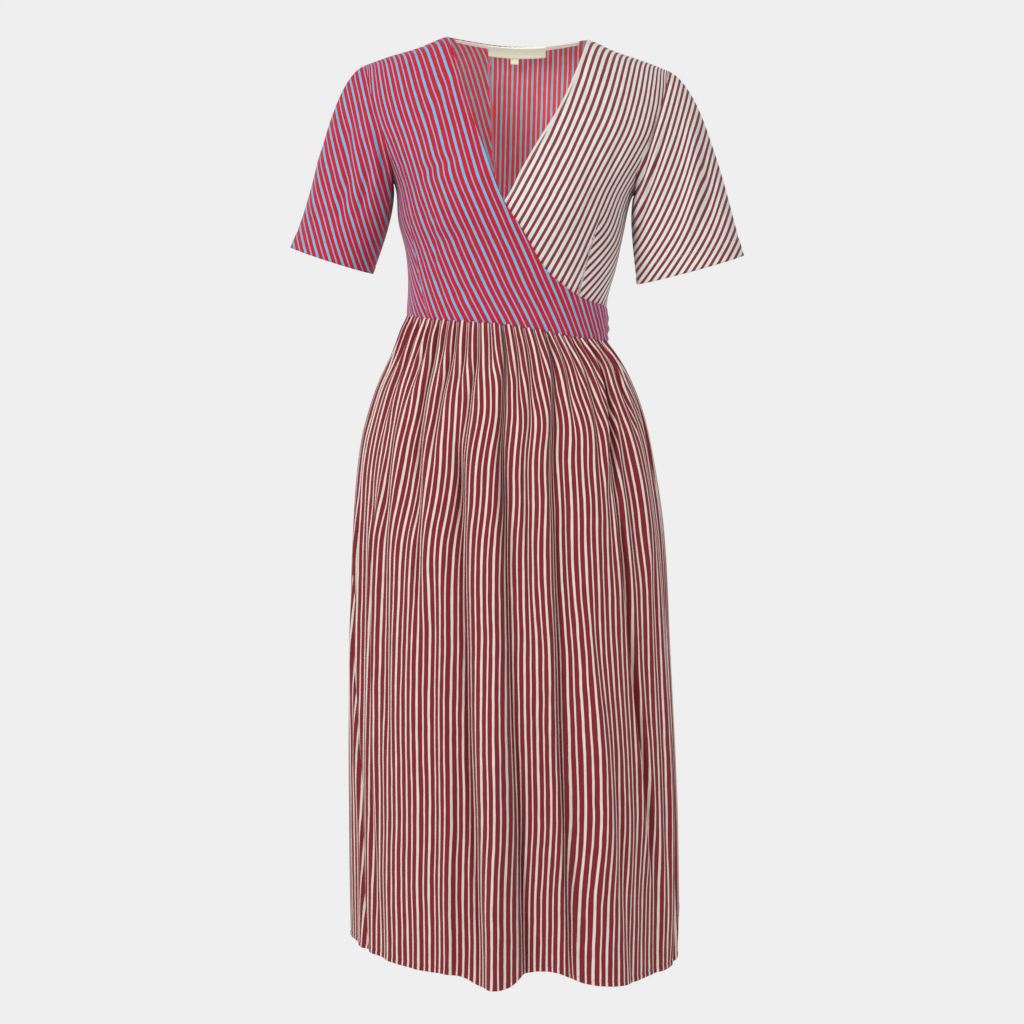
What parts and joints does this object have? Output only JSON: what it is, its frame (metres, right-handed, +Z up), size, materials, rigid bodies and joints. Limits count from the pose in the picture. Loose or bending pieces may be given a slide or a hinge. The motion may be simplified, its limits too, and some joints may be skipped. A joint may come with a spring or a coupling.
{
  "type": "wrap dress",
  "caption": "Short-sleeved midi wrap dress with a V neck, gathered skirt and shirt-tail hem, in three colourways of printed stripe, filled out as worn.",
  "frame": {"origin": "between the shoulders, midway across and front to back, at the height where the wearer holds the dress up", "axes": "+Z up, +X towards the wearer's left, and the front of the dress faces -Y"},
  "size_m": [0.564, 0.3644, 1.1549],
  "materials": {
    "red_blue_cloth": "plain-weave crepe, red with sky-blue stripes of two widths",
    "cream_burgundy_cloth": "plain-weave crepe, even cream and burgundy stripes",
    "burgundy_cream_cloth": "plain-weave crepe, burgundy with cream stripes of two widths",
    "cream_tape": "fine twill tape, matt",
    "woven_label": "blank satin-woven label"
  },
  "bodies": {
    "root": {"bodice_front_over": "red_blue_cloth", "bodice_front_under": "cream_burgundy_cloth", "bodice_back": "red_blue_cloth", "sleeve_right": "red_blue_cloth", "sleeve_left": "cream_burgundy_cloth", "skirt_front_over": "burgundy_cream_cloth", "skirt_front_under": "burgundy_cream_cloth", "skirt_back": "burgundy_cream_cloth", "back_neck_binding": "cream_tape", "neck_label": "woven_label", "size_tab": "woven_label"}
  },
  "joints": []
}
